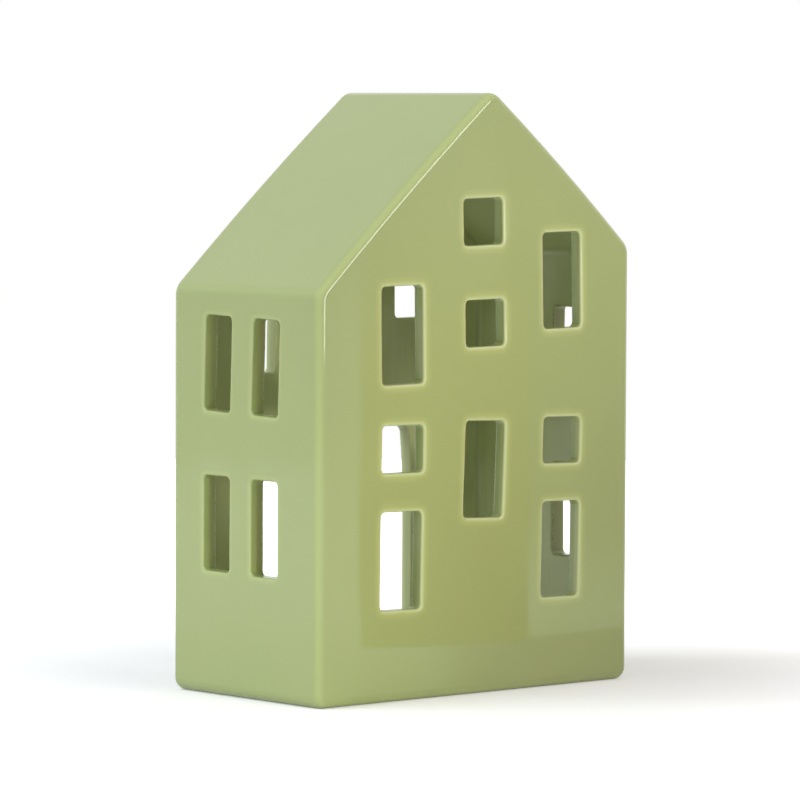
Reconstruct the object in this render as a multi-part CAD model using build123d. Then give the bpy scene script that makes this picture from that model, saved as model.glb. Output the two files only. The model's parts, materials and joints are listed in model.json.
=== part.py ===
from build123d import *
import math
import os

# Glazed ceramic tealight house, with the tealight that it holds.
#
# The house is one hollow casting: a floor, four walls and a gable roof, with windows
# cut through the walls and a wide doorway through the back wall. The tealight stands
# on the floor behind the doorway and slides out through it.
#
# Millimetres. X runs across the gable front, Y from the front to the back, Z is up.
# The origin lies on the table, under the middle of the base.

# Sizes of the house. The ridge's and the eaves' heights are those of the corners before rounding.
house_width = 118.0
house_depth = 64.0
ridge_height = 170.0
left_eave_height = 114.0
right_eave_height = 125.0
ridge_offset = 5.5
wall_thickness = 4.4
side_wall_thickness = 5.2
floor_thickness = 4.0
roof_swell = 0.8

# Roundings of the casting
base_corner_radius = 3.5
eave_radius = 5.5
ridge_radius = 5.0
gable_edge_radius = 3.0
room_corner_radius = 2.0

# Sizes of the windows and the doorway
front_window_width = 14.6
side_window_width = 11.2
tall_window_height = 27.1
small_window_height = 13.0
side_window_height = 26.6
window_corner_radius = 1.4
doorway_width = 58.0
doorway_height = 67.5
doorway_offset = -1.5
doorway_corner_radius = 2.4
doorway_shoulder_height = 45.0
doorway_head_inset = 1.3
rim_radius = 0.8

# Every window is cut by hand, so each one leans a little: degrees, anticlockwise from outside.
# A window's place is its middle: a share of the house's width from the middle of the
# gable wall, and a share of the wall's height at that place. The last number is its
# share of the usual window width.
front_window_shares = [
    (-0.240, 0.723, "tall", 0.9, 1.03),
    (-0.238, 0.498, "small", -0.7, 1.03),
    (-0.243, 0.279, "tall", -0.8, 1.01),
    (0.014, 0.796, "small", 1.4, 1.0),
    (0.021, 0.623, "small", 1.0, 0.985),
    (0.020, 0.378, "tall", -2.1, 1.0),
    (0.270, 0.783, "tall", 1.2, 0.975),
    (0.272, 0.476, "small", -1.2, 0.95),
    (0.269, 0.265, "tall", -0.9, 0.965),
]
back_window_shares = [
    (-0.269, 0.744, "tall", 0.7, 1.0),
    (-0.006, 0.800, "small", -1.0, 1.0),
    (-0.006, 0.630, "small", 0.8, 1.0),
    (0.243, 0.776, "tall", -0.6, 1.0),
]

# On a side wall: a share of the house's depth from its middle, a share of the eave's height
# and the lean.
left_window_shares = [
    (-0.139, 0.812, -2.1),
    (-0.131, 0.421, 0.0),
    (0.184, 0.816, -1.8),
    (0.192, 0.423, -0.3),
]
right_window_shares = [
    (-0.162, 0.748, 0.8),
    (-0.162, 0.384, -0.5),
    (0.154, 0.748, -0.6),
    (0.154, 0.384, 0.9),
]

# Sizes of the tealight
cup_diameter = 38.0
cup_height = 15.0
cup_taper = 0.3
cup_bead_radius = 0.45
cup_base_radius = 1.2
foil_thickness = 0.35
wax_below_rim = 2.0
wax_dish_depth = 0.6
halfway_dish_share = 0.85
wick_diameter = 1.4
wick_above_wax = 4.5
sustainer_diameter = 13.0
sustainer_thickness = 0.4
sustainer_neck_diameter = 2.8
sustainer_neck_height = 3.5

# Clearances
tealight_standing_gap = 0.2
wax_shrink_gap = 0.06
cut_overrun = 2.0
matching_slack = 0.35

eave_half_width = house_width / 2
left_pitch = math.atan2(ridge_height - left_eave_height, eave_half_width + ridge_offset)
right_pitch = math.atan2(ridge_height - right_eave_height, eave_half_width - ridge_offset)
tealight_x = doorway_offset


def wall_height(x, inset=0):
    """Height of the gable wall at x, under the roof slopes moved inwards by inset."""
    left = left_eave_height + (x + eave_half_width) * math.tan(left_pitch)
    right = right_eave_height + (eave_half_width - x) * math.tan(right_pitch)
    return min(left - inset / math.cos(left_pitch), right - inset / math.cos(right_pitch))


def ridge_x(inset):
    """Where the two slopes meet, once each has moved inwards by inset."""
    left_foot = left_eave_height - inset / math.cos(left_pitch)
    right_foot = right_eave_height - inset / math.cos(right_pitch)
    rise = right_foot - left_foot
    left_slope = math.tan(left_pitch)
    right_slope = math.tan(right_pitch)
    return (rise + eave_half_width * (right_slope - left_slope)) / (left_slope + right_slope)


def swollen_slope(low, high):
    """A roof slope's line, which stands roof_swell proud of its chord in the middle."""
    chord = Vector(*high) - Vector(*low)
    across = Vector(-chord.Y, chord.X).normalized()
    if across.Y < 0:
        across = -across
    middle = Vector(*low) + chord / 2 + across * roof_swell
    return ThreePointArc(low, (middle.X, middle.Y), high)


def gable_block(inset, side_inset, bottom, depth, radii, end_radius):
    """The gable outline, its roof and its sides moved inwards, as a rounded block centred on Y."""
    base_radius, slope_radius, peak_radius = radii
    side = eave_half_width - side_inset
    left_eave = (-side, wall_height(-side, inset))
    right_eave = (side, wall_height(side, inset))
    peak = (ridge_x(inset), wall_height(ridge_x(inset), inset))
    walls = Polyline(left_eave, (-side, bottom), (side, bottom), right_eave)
    outline = walls + swollen_slope(right_eave, peak) + swollen_slope(left_eave, peak)
    block = extrude(Plane.XZ * make_face(outline), amount=depth / 2, both=True)
    corners = block.edges().filter_by(Axis.Y).sort_by(Axis.Z)
    block = fillet(corners[:2], base_radius)
    corners = block.edges().filter_by(Axis.Y).group_by(Axis.Z)
    block = fillet(corners[-1], peak_radius)
    sharp = [e for e in block.edges().filter_by(Axis.Y) if is_at(e, left_eave) or is_at(e, right_eave)]
    block = fillet(sharp, slope_radius)
    ends = block.faces().sort_by(Axis.Y)
    return fillet(ends[0].edges() + ends[-1].edges(), end_radius)


def is_at(edge, corner):
    """Whether an edge along Y stands on the corner (x, z) of the gable outline."""
    middle = edge.center()
    return math.dist((middle.X, middle.Z), corner) < matching_slack


def window_height(kind):
    return tall_window_height if kind == "tall" else small_window_height


def opening_block(width, height, thickness):
    """A block with rounded corners, upright on XZ and thickness long on Y, centred on the origin."""
    block = Box(width, thickness, height)
    return fillet(block.edges().filter_by(Axis.Y), window_corner_radius)


def window_cutters():
    """Every window's block, each across its wall."""
    cutters = []
    length = wall_thickness + 2 * cut_overrun
    y = (house_depth - wall_thickness) / 2
    for shares, way in [(front_window_shares, -1), (back_window_shares, 1)]:
        for x_share, height_share, kind, lean, width_share in shares:
            x = x_share * house_width
            z = height_share * wall_height(x)
            block = opening_block(width_share * front_window_width, window_height(kind), length)
            cutters.append(Pos(x, way * y, z) * Rot(0, way * lean, 0) * block)
    length = side_wall_thickness + 2 * cut_overrun
    x = (house_width - side_wall_thickness) / 2
    for shares, eave, way in [
        (left_window_shares, left_eave_height, -1),
        (right_window_shares, right_eave_height, 1),
    ]:
        for y_share, height_share, lean in shares:
            block = opening_block(side_window_width, side_window_height, length)
            turned = Rot(0, 0, 90) * Rot(0, -way * lean, 0) * block
            cutters.append(Pos(way * x, y_share * house_depth, height_share * eave) * turned)
    return cutters


def doorway_cutter():
    """The doorway's block: its foot is level with the floor of the room, its sides draw in to its head."""
    length = wall_thickness + room_corner_radius + 2 * cut_overrun
    foot = doorway_width / 2
    head = foot - doorway_head_inset
    lower = Polyline((-foot, doorway_shoulder_height), (-foot, 0), (foot, 0), (foot, doorway_shoulder_height))
    right = TangentArc((foot, doorway_shoulder_height), (head, doorway_height), tangent=(0, 1))
    left = TangentArc((-foot, doorway_shoulder_height), (-head, doorway_height), tangent=(0, 1))
    outline = lower + right + left + Line((-head, doorway_height), (head, doorway_height))
    block = extrude(Plane.XZ * make_face(outline), amount=length / 2, both=True)
    block = fillet(block.edges().filter_by(Axis.Y).group_by(Axis.Z)[-1], doorway_corner_radius)
    return Pos(doorway_offset, house_depth / 2 + cut_overrun - length / 2, floor_thickness) * block


def rim_edges(shell, cutters, end_y, side_x):
    """The edges around some openings, on the end walls' faces at end_y and the side walls' at side_x."""
    boxes = [cutter.bounding_box() for cutter in cutters]
    return [
        edge
        for edge in shell.edges()
        if lies_on(edge, end_y, side_x) and any(holds(box, edge.center()) for box in boxes)
    ]


def lies_on(edge, end_y, side_x):
    """Whether an edge lies in an end wall's face or a side wall's face."""
    box = edge.bounding_box()
    on_end = box.size.Y < matching_slack and abs(abs(box.center().Y) - end_y) < matching_slack
    on_side = box.size.X < matching_slack and abs(abs(box.center().X) - side_x) < matching_slack
    return on_end or on_side


def holds(box, point):
    """Whether a point is inside a box, or on it."""
    low = box.min - Vector(matching_slack, matching_slack, matching_slack)
    high = box.max + Vector(matching_slack, matching_slack, matching_slack)
    return low.X < point.X < high.X and low.Y < point.Y < high.Y and low.Z < point.Z < high.Z


def make_house_shell():
    outer_radii = (base_corner_radius, eave_radius, ridge_radius)
    room_radii = (room_corner_radius, eave_radius, ridge_radius)
    room_depth = house_depth - 2 * wall_thickness
    shell = gable_block(0, 0, 0, house_depth, outer_radii, gable_edge_radius)
    shell -= gable_block(
        wall_thickness, side_wall_thickness, floor_thickness, room_depth, room_radii, room_corner_radius
    )
    windows = window_cutters()
    doorway = [doorway_cutter()]
    shell = shell - windows - doorway
    for openings in (windows, doorway):
        outer_rims = rim_edges(shell, openings, house_depth / 2, house_width / 2)
        shell = fillet(outer_rims, rim_radius)
        inner_rims = rim_edges(shell, openings, room_depth / 2, house_width / 2 - side_wall_thickness)
        shell = fillet(inner_rims, rim_radius)
    return shell


def cup_radius(z):
    """Outer radius of the tealight cup at height z over its own foot."""
    return cup_diameter / 2 - cup_taper * (1 - z / cup_height)


def make_tealight_cup():
    """Deep-drawn cup with a rolled rim, standing on its own foot at height zero."""
    inner_foot = cup_radius(0) - foil_thickness
    inner_rim = cup_radius(cup_height) - foil_thickness
    outer = make_face(
        Polyline((0, 0), (cup_radius(0), 0), (cup_radius(cup_height), cup_height), (0, cup_height), close=True)
    )
    inner = make_face(
        Polyline(
            (0, foil_thickness), (inner_foot, foil_thickness), (inner_rim, cup_height), (0, cup_height), close=True
        )
    )
    outer = fillet(outer.vertices().sort_by(Axis.X)[-2:].sort_by(Axis.Y)[0], cup_base_radius)
    inner = fillet(inner.vertices().sort_by(Axis.X)[-2:].sort_by(Axis.Y)[0], cup_base_radius - foil_thickness)
    bead = Pos(cup_radius(cup_height), cup_height - cup_bead_radius) * Circle(cup_bead_radius)
    wall = outer - inner + bead
    return revolve(Plane.XZ * wall, Axis.Z)


def make_wick_sustainer():
    """Flat round foot with a short neck that grips the wick."""
    foot = Pos(0, 0, foil_thickness) * Cylinder(
        sustainer_diameter / 2, sustainer_thickness, align=(Align.CENTER, Align.CENTER, Align.MIN)
    )
    neck = Pos(0, 0, foil_thickness) * Cylinder(
        sustainer_neck_diameter / 2, sustainer_neck_height, align=(Align.CENTER, Align.CENTER, Align.MIN)
    )
    return foot + neck - make_wick()


def make_wick():
    """Round wick, from the floor of the cup to its tip over the wax."""
    length = cup_height - wax_below_rim + wick_above_wax - foil_thickness
    return Pos(0, 0, foil_thickness) * Cylinder(
        wick_diameter / 2, length, align=(Align.CENTER, Align.CENTER, Align.MIN)
    )


def make_tealight_wax():
    """Wax poured into the cup round the wick and its foot, with a shallow dish on top."""
    top = cup_height - wax_below_rim
    foot_radius = cup_radius(0) - foil_thickness - wax_shrink_gap
    top_radius = cup_radius(top) - foil_thickness - wax_shrink_gap
    sustainer_radius = sustainer_diameter / 2 + wax_shrink_gap
    neck_radius = sustainer_neck_diameter / 2 + wax_shrink_gap
    wick_radius = wick_diameter / 2 + wax_shrink_gap
    foot_top = foil_thickness + sustainer_thickness + wax_shrink_gap
    neck_top = foil_thickness + sustainer_neck_height + wax_shrink_gap
    dish = ThreePointArc(
        (wick_radius, top - wax_dish_depth),
        ((wick_radius + top_radius) / 2, top - wax_dish_depth * halfway_dish_share),
        (top_radius, top),
    )
    section = make_face(
        Polyline(
            (top_radius, top),
            (foot_radius, foil_thickness),
            (sustainer_radius, foil_thickness),
            (sustainer_radius, foot_top),
            (neck_radius, foot_top),
            (neck_radius, neck_top),
            (wick_radius, neck_top),
            (wick_radius, top - wax_dish_depth),
        )
        + dish
    )
    section = fillet(section.vertices().sort_by_distance((foot_radius, foil_thickness))[0], cup_base_radius)
    return revolve(Plane.XZ * section, Axis.Z)


def main():
    on_floor = Pos(tealight_x, 0, floor_thickness + tealight_standing_gap)
    nodes = {
        "house_shell": make_house_shell(),
        "tealight_cup": on_floor * make_tealight_cup(),
        "tealight_wax": on_floor * make_tealight_wax(),
        "tealight_wick": on_floor * make_wick(),
        "wick_sustainer": on_floor * make_wick_sustainer(),
    }
    os.makedirs("parts", exist_ok=True)
    for name, solid in nodes.items():
        export_step(solid, f"parts/{name}.step")
        print(name, round(solid.volume), "cubic mm")


main()
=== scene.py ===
import json
import math

import bmesh
import bpy
import numpy as np
from mathutils import Matrix, Vector, kdtree, noise

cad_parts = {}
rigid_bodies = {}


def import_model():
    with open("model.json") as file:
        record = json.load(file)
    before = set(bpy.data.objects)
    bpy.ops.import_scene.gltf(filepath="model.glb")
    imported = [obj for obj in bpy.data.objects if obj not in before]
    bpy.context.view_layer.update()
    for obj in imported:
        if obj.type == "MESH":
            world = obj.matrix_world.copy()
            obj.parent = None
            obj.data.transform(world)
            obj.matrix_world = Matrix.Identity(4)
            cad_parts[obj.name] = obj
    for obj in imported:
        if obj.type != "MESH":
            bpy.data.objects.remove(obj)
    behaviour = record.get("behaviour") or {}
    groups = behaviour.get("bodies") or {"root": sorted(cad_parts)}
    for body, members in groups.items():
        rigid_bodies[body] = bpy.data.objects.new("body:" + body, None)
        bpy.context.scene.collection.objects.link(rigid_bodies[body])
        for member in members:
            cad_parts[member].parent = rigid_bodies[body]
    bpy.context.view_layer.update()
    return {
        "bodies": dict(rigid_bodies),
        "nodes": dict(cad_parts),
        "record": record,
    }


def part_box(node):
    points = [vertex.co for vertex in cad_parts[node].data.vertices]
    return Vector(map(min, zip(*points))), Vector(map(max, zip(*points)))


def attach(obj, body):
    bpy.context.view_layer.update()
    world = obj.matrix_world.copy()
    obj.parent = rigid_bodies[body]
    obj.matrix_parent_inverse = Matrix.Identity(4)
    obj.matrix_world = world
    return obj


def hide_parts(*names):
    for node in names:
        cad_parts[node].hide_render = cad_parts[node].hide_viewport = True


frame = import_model()

# A glazed ceramic tealight house in a plain white studio. Metres, +Z up, the gable front faces -Y.
MM = 0.001

# Corners of a mesh that lie closer than this are one corner, in metres
WELD = 1e-7

# Less than these counts as nothing: two edges' lengths multiplied, in square metres, and a sum of
# angles in radians
NO_LENGTH = 1e-18
NO_ANGLE = 1e-6

# The camera of the photograph: its place in millimetres, its aim in degrees, its lens and sensor in
# millimetres, and how far it sees, in metres
CAMERA_PLACE = (-928.698, -1048.732, 165.0)
CAMERA_HEADING = 41.487
CAMERA_DIP = 3.421
CAMERA_ROLL = 0.237
CAMERA_LENS = 221.72
CAMERA_SENSOR = 36.0
CAMERA_REACH = 100.0

# How the casting's mesh is divided: the cells' size and the rings of cuts round each opening, in mm
CELL = 5.0
LONG_FACE_SHARE = 0.7
HALO_STEPS = (0.5, 1.1, 1.8, 2.8)
HALO_REACH = 2.8
RIM_REACH = 2.2
RIM_OVERLAP = 0.4
FLAT_TURN = 0.05

# How the casting's faces are told apart: angles in degrees, the rest as parts of a normal's length
SHARP_TURN = 45.0
WALL_SLACK = 1.0
SLOPE_SLACK = 3.3
WALL_FACING = 0.999
SLOPE_FACING = 0.3
LEVEL_FACING = 0.01
RIM_TURN = 0.2

# How far the glaze moves the surface, in mm: waves, a dip round each opening, drips and beads
WAVE_HEIGHT = 0.03
WAVE_LENGTH = 34.0
RIPPLE_SHARE = 0.35
RIPPLE_LENGTH_SHARE = 0.4
RIPPLE_PLACE = (7, 3, 5)
HALO_DIP = 0.07
DRIP_HEIGHT = 0.05
DRIP_LENGTH = 2.4
BEAD_HEIGHT = 0.30
BEAD_REACH = 1.3
BEAD_PLACE = (1.2, 1.0, 1.1)
BEAD_LEAST_SHARE = 0.45
BEAD_RHYTHM = 2.3
FLAT_BASE = 2.0

# The side walls start this far from the middle, in mm. Their rims have a share of the front's thin
# glaze, their halo is narrower by a gap in mm, and their windows have a share of the painted glint dots.
# The front's sills have a weaker brown rim line than its left sides, and the end walls are thinner than
# the side walls.
SIDE_WALL = 52.0
SIDE_RIM_SHARE = 0.35
SIDE_RIM_GAP = 1.0
SIDE_GLINT = 0.5
SILL_BROWN_SHARE = 0.6
END_WALL_SHARE = 4.4 / 5.2

# Depths under the outer faces, in mm, between which the glaze of one part gives way to the next
ROOM_DEPTH = (0.9, 2.6)
CUT_EDGE_DEPTH = (0.8, 2.4)
CUT_EDGE_SHARE = 0.45
CUT_END_DEPTH = (4.1, 4.5)
DOT_DEPTH = (3.55, 3.75)
BROWN_SIDE_DEPTH = (-0.05, 0.1)
BROWN_INNER_START = (0.4, 0.8)
BROWN_INNER_END = (0.9, 1.6)

# Gaps to a rim and heights over the table, in mm, between which the glaze's colour changes, and how
# strong the changes are
HALO_GAP = (0.4, 2.6)
HALO_SHARE = 0.45
LIGHT_GAP = (0.0, 0.9)
LIGHT_SHARE = 0.5
BROWN_LINE_GAP = (0.15, 0.6)
# Heights between which the front openings' cut faces get lighter, as painted light
CUT_HEIGHT = (60, 140)
# Heights between which the rims' light colour gets stronger, a painted highlight
RIM_HIGHLIGHT_HEIGHT = (60, 125)
BARE_HEIGHT = (0.12, 0.2)
BARE_WANDER = 0.1
BARE_WANDER_WIDTH = 3.0
# How much of the rims' light colour is left low down, under the painted highlight
LOW_RIM_HIGHLIGHT_SHARE = 0.72

# How sharply the surface turns, from 0 to 1, where the glaze pools and thins, and how strongly
POOLED_TURN = (0.0, 1.0)
POOLED_SHARE = 0.5
EDGE_TURN = (0.2, 1.0)
EDGE_SHARE = 0.5
THIN_TURN = (0.0, 0.6)

# Textures: how wide their features are in mm, their detail, the values of their noise between which
# they change, and how strong they are below and above these
CLOUD_TEXTURE = (22.0, 3.0, 0.3, 0.7, 0.0, 0.12)
# The streaks below are painted reflections on the room's walls
STREAK_TEXTURE = (1.1, 2.0, 0.42, 0.72, 0.0, 0.5)
STREAK_STRETCH = (1, 1, 0.03)
STREAK_PATCHES = (14.0, 1.0, 0.4, 0.65, 0.0, 1.0)
# The dots below are painted glints along the jambs' inner edge
DOT_TEXTURE = (0.8, 2.0, 0.40, 0.58, 0.15, 0.9)
BROWN_LINE_TEXTURE = (5.0, 2.0, 0.3, 0.7, 0.35, 0.9)
CLAY_TEXTURE = (0.5, 3.0, 0.35, 0.65, 0.0, 0.3)
FLOOR_TEXTURE = (2.0, 2.0, 0.3, 0.7, 0.0, 0.3)
GLAZE_GLOSS = (7.0, 2.0, 0.3, 0.7, 0.025, 0.05)
FOIL_GLOSS = (0.7, 2.0, 0.3, 0.7, 0.2, 0.34)
WAX_GLOSS = (4.0, 2.0, 0.3, 0.7, 0.38, 0.55)

# Noises that a material uses more than once: their width in mm, their detail and their stretch
GLAZE_WAVES = (8.0, 1.0)
WRINKLES = (1.8, 3.0)
CRYSTALS = (1.2, 4.0)
FIBRES = (0.12, 3.0, (1, 1, 0.15))
BRUSHING = (0.3, 2.0, (0.1, 1, 1))

# What those noises do to the colour and the roughness: two values of the noise, then two results
WRINKLE_TONE = (0.35, 0.65, 0.0, 0.25)
CRYSTAL_TONE = (0.35, 0.7, 0.0, 0.4)
FIBRE_TONE = (0.3, 0.7, 0.0, 0.7)
FIBRE_GLOSS = (0.3, 0.7, 0.55, 0.8)
BRUSHING_TONE = (0.3, 0.7, 0.0, 0.4)
BRUSHING_GLOSS = (0.3, 0.7, 0.3, 0.45)

# Bumps that follow those noises: their height in mm and their strength
GLAZE_BUMP = (0.02, 0.5)
WRINKLE_BUMP = (0.03, 0.6)
CRYSTAL_BUMP = (0.03, 0.5)
FIBRE_BUMP = (0.04, 0.8)

# How the glaze and the bare clay take the light
GLAZE_IOR = 1.55
ROOM_ROUGHNESS = 0.2
BISQUE_ROUGHNESS = 0.8

# How the tealight's materials and the floor take the light; the reach is in mm
WAX_GLOW = 0.5
WAX_GLOW_COLOUR = (1.0, 0.9, 0.7)
WAX_GLOW_REACH = 2.0
COTTON_SHEEN = 0.2
FLOOR_ROUGHNESS = 0.9

# Colours, as sRGB values from 0 to 255
SAGE = (165, 176, 114)
THIN_GLAZE = (205, 214, 157)
EDGE_GLAZE = (184, 198, 128)
BROWN_LINE_GLAZE = (176, 150, 92)
POOLED_GLAZE = (150, 163, 99)
HALO_GLAZE = (192, 201, 126)
CUT_GLAZE = (176, 189, 129)
# Painted light on the front openings' cut faces, higher up
LIT_HIGH_CUT_GLAZE = (200, 214, 160)
# Painted shade: the darker colour of the cut faces of the other openings
SHADED_CUT_GLAZE = (174, 181, 121)
# Painted glints on the jambs' inner edge
PAINTED_GLINT = (238, 244, 222)
# The room's glaze: a lighter copy of the sage as painted light, and its streaks as painted reflections
LIT_ROOM_GLAZE = (211, 219, 168)
ROOM_STREAK_REFLECTION = (218, 226, 186)
BISQUE = (226, 218, 202)
BISQUE_GRAIN = (196, 184, 164)
FOIL = (222, 223, 226)
FOIL_WRINKLE = (190, 191, 194)
WAX = (240, 238, 230)
WAX_CRYSTAL = (224, 221, 210)
COTTON = (228, 222, 206)
COTTON_SHADE = (190, 182, 160)
TINNED_STEEL = (196, 198, 202)
BRUSHED_STEEL = (168, 170, 174)
FLOOR = (240, 240, 238)
FLOOR_GRAIN = (236, 236, 234)


def linear(colour):
    """An sRGB colour, 0 to 255, as Blender's linear RGBA."""
    channels = []
    for value in colour:
        share = value / 255
        channels.append(share / 12.92 if share <= 0.04045 else ((share + 0.055) / 1.055) ** 2.4)
    return (*channels, 1.0)


def smooth_step(value):
    """0 below 0, 1 above 1 and a smooth rise between them."""
    value = min(max(value, 0.0), 1.0)
    return value * value * (3 - 2 * value)


# The house's casting

def cut_faces(bm, faces, place, across):
    """Cuts the faces along a plane, and returns every face that comes of it."""
    geometry = dict.fromkeys(faces)
    for face in faces:
        geometry.update(dict.fromkeys(face.edges))
        geometry.update(dict.fromkeys(face.verts))
    result = bmesh.ops.bisect_plane(bm, geom=list(geometry), dist=WELD, plane_co=place, plane_no=across)
    return [item for item in result["geom"] if isinstance(item, bmesh.types.BMFace)]


def spans(face, axis):
    """The lowest and the highest place of a face along an axis."""
    places = [vert.co[axis] for vert in face.verts]
    return min(places), max(places)


def cut_into_cells(bm, low, high):
    """Divides all long faces along X, Y and Z, so that the surface can bend between its corners."""
    for axis in range(3):
        across = Vector((0, 0, 0))
        across[axis] = 1
        count = round((high[axis] - low[axis]) / (CELL * MM))
        step = (high[axis] - low[axis]) / count
        least = step * LONG_FACE_SHARE
        long_faces = [face for face in bm.faces if spans(face, axis)[1] - spans(face, axis)[0] > least]
        for i in range(1, count):
            level = low[axis] + i * step
            crossing = []
            kept = []
            for face in long_faces:
                bottom, top = spans(face, axis)
                if bottom < level - WELD and top > level + WELD:
                    crossing.append(face)
                elif bottom >= level - WELD:
                    kept.append(face)
            pieces = cut_faces(bm, crossing, across * level, across)
            long_faces = kept + [face for face in pieces if spans(face, axis)[0] > level - 2 * WELD]


def wall_openings():
    """The windows and the doorway: the box of each, and the axis that it runs along."""
    found = []
    for opening in frame["record"]["physics"]["openings"]:
        if "window" in opening["name"] or opening["name"] == "doorway":
            low, high = (Vector(corner) for corner in opening["box_m"])
            axis = 0 if opening["name"].startswith(("left", "right")) else 1
            found.append((low, high, axis))
    return found


def cut_round_openings(bm, openings):
    """Adds rings of cuts round each opening, on both faces of its wall."""
    for low, high, axis in openings:
        reach = (HALO_REACH + RIM_REACH) * MM
        sideways = 1 - axis
        near = []
        for face in bm.faces:
            middle = face.calc_center_median()
            inside = low[axis] - MM < middle[axis] < high[axis] + MM
            inside = inside and low[sideways] - reach < middle[sideways] < high[sideways] + reach
            inside = inside and low.z - reach < middle.z < high.z + reach
            if inside and abs(face.normal[axis]) > WALL_FACING:
                near.append(face)
        for step in HALO_STEPS:
            for way, corner in ((-1, low), (1, high)):
                for along in (sideways, 2):
                    across = Vector((0, 0, 0))
                    across[along] = way
                    place = corner + across * (step + RIM_REACH - RIM_OVERLAP) * MM
                    near = cut_faces(bm, near, place, across)


def roof_normals(bm):
    """The mean outward directions of the roof's two slopes."""
    sums = {-1: Vector((0, 0, 0)), 1: Vector((0, 0, 0))}
    for face in bm.faces:
        across = face.normal
        if across.z > SLOPE_FACING and abs(across.x) > SLOPE_FACING and abs(across.y) < LEVEL_FACING:
            sums[1 if across.x > 0 else -1] += across * face.calc_area()
    return [total.normalized() for total in sums.values()]


def wall_depths(bm):
    """For each corner of the mesh, how far it lies under the outer faces, in mm."""
    walls = ((1, 0, 0), (-1, 0, 0), (0, 1, 0), (0, -1, 0), (0, 0, -1))
    outer = [Vector(way) for way in walls] + roof_normals(bm)
    reaches = [max(way.dot(vert.co) for vert in bm.verts) for way in outer]
    return [min(reach - way.dot(vert.co) for way, reach in zip(outer, reaches)) / MM for vert in bm.verts]


def measure_glaze(bm, openings):
    """For each corner of the mesh: how the surface turns there, and its gap to the nearest rim, in mm.

    A turn is three values: how sharp it is from 0 to 1, its bend, which is below 0 over an edge and
    above 0 in a hollow, and whether it is on an opening's rim.
    """
    flats = [Vector(way) for way in ((1, 0, 0), (-1, 0, 0), (0, 1, 0), (0, -1, 0), (0, 0, 1), (0, 0, -1))]
    slopes = roof_normals(bm)
    flats += slopes + [-slope for slope in slopes]
    turns = []
    rim_places = []
    for vert in bm.verts:
        facing = max(vert.normal.dot(flat) for flat in flats)
        turn = min(math.degrees(math.acos(min(facing, 1.0))) / SHARP_TURN, 1.0)
        ways = [(edge.other_vert(vert).co - vert.co).normalized() for edge in vert.link_edges]
        bend = sum(vert.normal.dot(way) for way in ways)
        on_rim = turn > RIM_TURN and bend < 0 and is_near_opening(vert.co, openings)
        if on_rim:
            rim_places.append(vert.co.copy())
        turns.append((turn, bend, on_rim))
    tree = kdtree.KDTree(len(rim_places))
    for i, place in enumerate(rim_places):
        tree.insert(place, i)
    tree.balance()
    gaps = [tree.find(vert.co)[2] / MM for vert in bm.verts]
    return turns, gaps


def is_beside(place, low, high):
    """Whether a place is in a box or within reach of its rim."""
    margin = RIM_REACH * MM
    return all(low[i] - margin < place[i] < high[i] + margin for i in range(3))


def is_near_opening(place, openings):
    """Whether a place is beside any opening."""
    return any(is_beside(place, low, high) for low, high, _ in openings)


def opening_side(place, openings):
    """The opening that a place is beside: its axis, whether it is in front, and the side of it."""
    for low, high, axis in openings:
        if is_beside(place, low, high):
            sideways = 1 - axis
            gaps = {
                "low": low[sideways] - place[sideways],
                "high": place[sideways] - high[sideways],
                "sill": low.z - place.z,
                "head": place.z - high.z,
            }
            return axis, axis == 1 and low.y < 0, max(gaps, key=gaps.get)
    return None, False, None


def bead_places(openings):
    """Where glaze has run together: at the lower right corner of each window in the gable front."""
    right, inwards, down = BEAD_PLACE
    places = []
    for low, high, axis in openings:
        if axis == 1 and low.y < 0:
            places.append(Vector((high.x + right * MM, low.y + inwards * MM, low.z - down * MM)))
    return places


def glaze_height(vert, on_rim, gap, beads):
    """How far the glaze lifts the surface at a corner of the mesh, in mm."""
    place = vert.co / MM
    settled = smooth_step(place.z / FLAT_BASE)
    ripple = noise.noise(place / (WAVE_LENGTH * RIPPLE_LENGTH_SHARE) + Vector(RIPPLE_PLACE))
    height = WAVE_HEIGHT * (noise.noise(place / WAVE_LENGTH) + RIPPLE_SHARE * ripple)
    height -= HALO_DIP * (1 - smooth_step(gap / HALO_REACH))
    if on_rim:
        height += DRIP_HEIGHT * noise.noise(place / DRIP_LENGTH)
    for number, bead in enumerate(beads):
        away = (vert.co - bead).length / MM / BEAD_REACH
        if away < 1:
            rest = (1 - BEAD_LEAST_SHARE) * math.sin(BEAD_RHYTHM * number + 1) ** 2
            height += BEAD_HEIGHT * (BEAD_LEAST_SHARE + rest) * smooth_step(1 - away)
    return height * settled


def is_flat(face, slopes):
    """Whether a face belongs to a wall's plane or a roof slope, not to a rounding."""
    across = face.normal
    if max(abs(across.x), abs(across.y), abs(across.z)) > math.cos(math.radians(WALL_SLACK)):
        return True
    steepest = max(abs(across.dot(slope)) for slope in slopes)
    return abs(across.y) < LEVEL_FACING and steepest > math.cos(math.radians(SLOPE_SLACK))


def flat_faces(bm, slopes):
    return np.array([is_flat(face, slopes) for face in bm.faces])


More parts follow.
